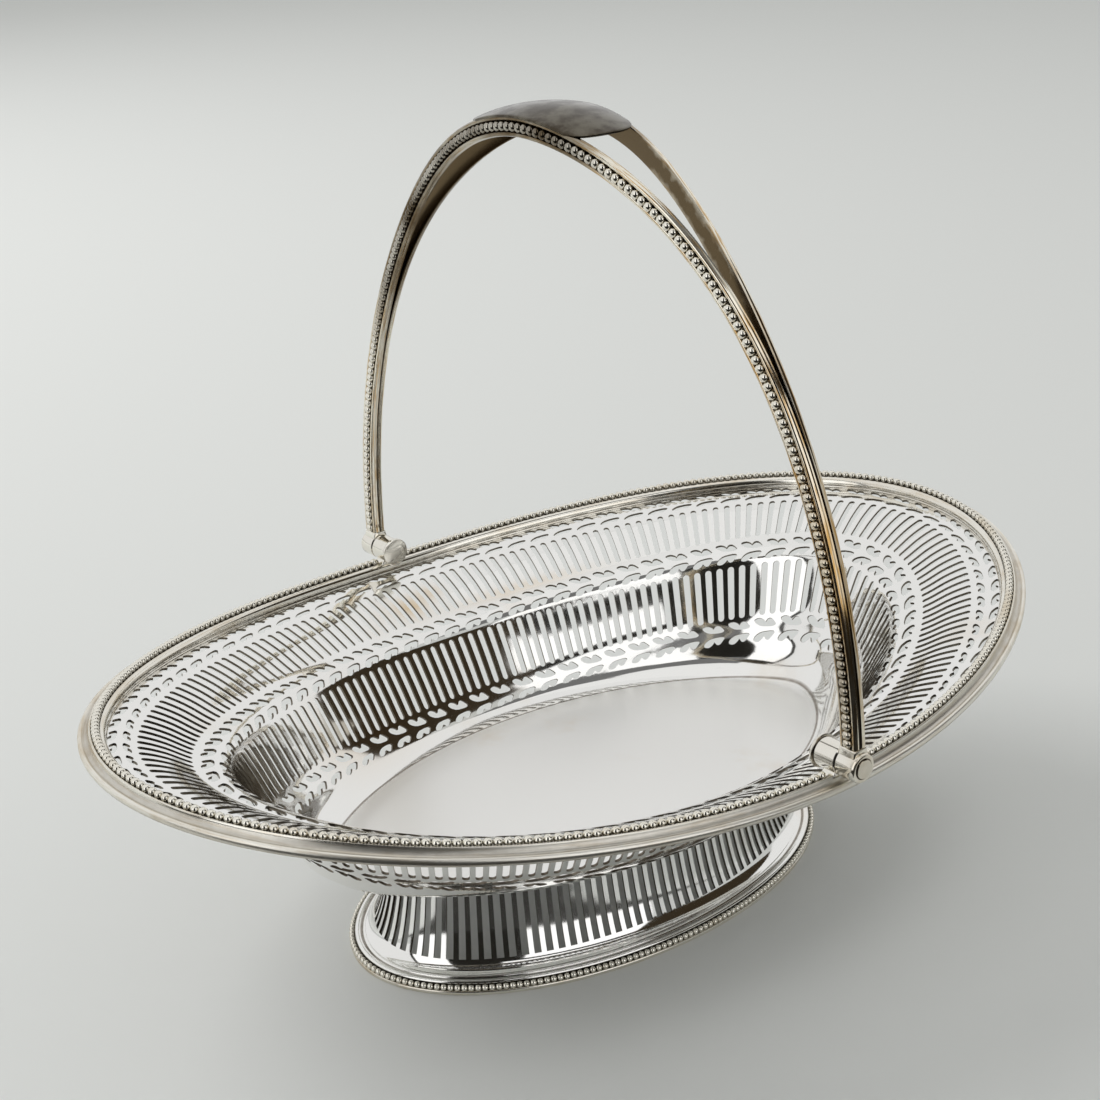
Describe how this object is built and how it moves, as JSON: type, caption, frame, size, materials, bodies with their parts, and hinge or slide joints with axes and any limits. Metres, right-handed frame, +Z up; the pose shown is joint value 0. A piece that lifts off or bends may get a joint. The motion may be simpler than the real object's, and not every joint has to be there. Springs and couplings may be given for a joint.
{
  "type": "swing-handled oval basket",
  "caption": "Oval boat-shaped pierced dish on a flared pierced foot, with a beaded border and a swing handle of two beaded ribs that part at the crown under a curved grip plate.",
  "frame": {"origin": "middle of the foot, on the surface it stands on", "axes": "+X along the long axis of the oval, +Y across it along the handle's hinge line, +Z up"},
  "size_m": [0.368, 0.2716, 0.2824],
  "materials": {
    "bright_silver": "polished silver plate with fine scratches",
    "worn_silver": "polished silver plate, warm tarnish in the hollows",
    "bead_silver": "bright beads with dark tarnish between them",
    "handle_silver": "polished silver plate, amber and brown tarnish",
    "dark_silver": "mottled dark tarnish"
  },
  "bodies": {
    "basket": {"dish": "bright_silver", "rim_border": "worn_silver", "rim_beading_right": "bead_silver", "rim_beading_left": "bead_silver", "rim_inner_reed": "worn_silver", "foot_wall": "bright_silver", "foot_moulding": "bright_silver", "foot_base_wire": "worn_silver", "foot_beading": "bead_silver", "hinge_bracket_near": "worn_silver", "hinge_bracket_far": "worn_silver", "hinge_pin_near": "bright_silver", "hinge_pin_far": "bright_silver"},
    "handle": {"handle_knuckle_near": "worn_silver", "handle_knuckle_far": "worn_silver", "handle_rib_left": "handle_silver", "handle_rib_right": "handle_silver", "rib_beading_left": "bead_silver", "rib_beading_right": "bead_silver", "handle_grip_plate": "dark_silver"}
  },
  "joints": [
    {"name": "handle_swing", "type": "hinge", "parent": "basket", "child": "handle", "pos_m": [0, 0, 0.0945], "axis": [0, 1, 0], "range_deg": [-79.7, 82.3]}
  ]
}
